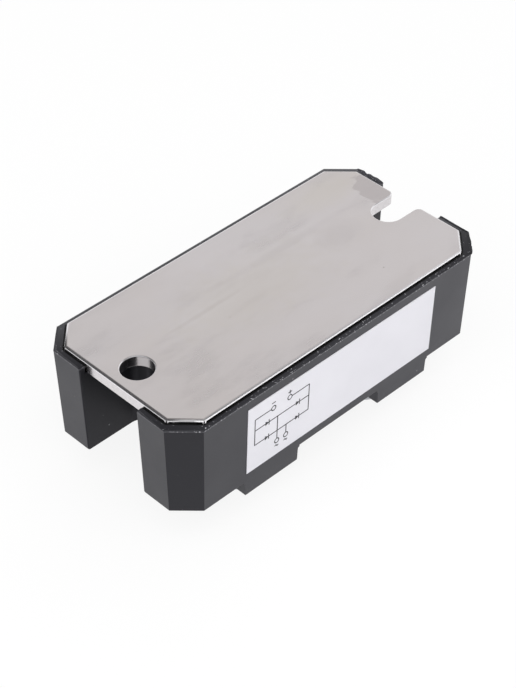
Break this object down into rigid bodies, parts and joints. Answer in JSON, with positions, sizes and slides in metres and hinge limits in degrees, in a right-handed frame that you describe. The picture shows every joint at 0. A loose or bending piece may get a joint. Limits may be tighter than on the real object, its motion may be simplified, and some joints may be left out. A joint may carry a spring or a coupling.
{
  "type": "bridge rectifier",
  "caption": "Screw-terminal bridge rectifier module: black moulded case with two terminal blocks on a nickel-plated base plate with a mounting hole and an open mounting slot.",
  "frame": {"origin": "middle of the footprint, at the level of the screw heads that the module lies on", "axes": "+X along the module towards the open mounting slot, -Y towards the label, +Z out of the mounting face of the base plate; the module lies upside down on its terminal screws"},
  "size_m": [0.0816, 0.04, 0.0316],
  "materials": {
    "nickel_plate": "satin nickel plating on copper",
    "black_case": "matt moulded thermoset, fine grain",
    "white_label": "matt coated sticker",
    "seal_glue": "cured silicone glue",
    "clear_gel": "soft clear gel",
    "white_ceramic": "unglazed alumina",
    "bare_copper": "bare rolled copper",
    "silicon": "passivated chip",
    "nickel_strap": "bright nickel plating on copper",
    "zinc_steel": "zinc plated"
  },
  "bodies": {
    "root": {"base_plate": "nickel_plate", "housing": "black_case", "label": "white_label", "case_seal": "seal_glue", "silicone_gel": "clear_gel", "ceramic_1": "white_ceramic", "ceramic_2": "white_ceramic", "ac_pad_1": "bare_copper", "ac_pad_2": "bare_copper", "diode_1": "silicon", "diode_2": "silicon", "diode_3": "silicon", "diode_4": "silicon", "plus_link": "bare_copper", "minus_link": "bare_copper", "ac_terminal_1": "nickel_strap", "ac_terminal_2": "nickel_strap", "plus_terminal": "nickel_strap", "minus_terminal": "nickel_strap", "terminal_nuts": "zinc_steel", "terminal_screws": "zinc_steel", "lock_washers": "zinc_steel", "flat_washers": "zinc_steel"}
  },
  "joints": []
}
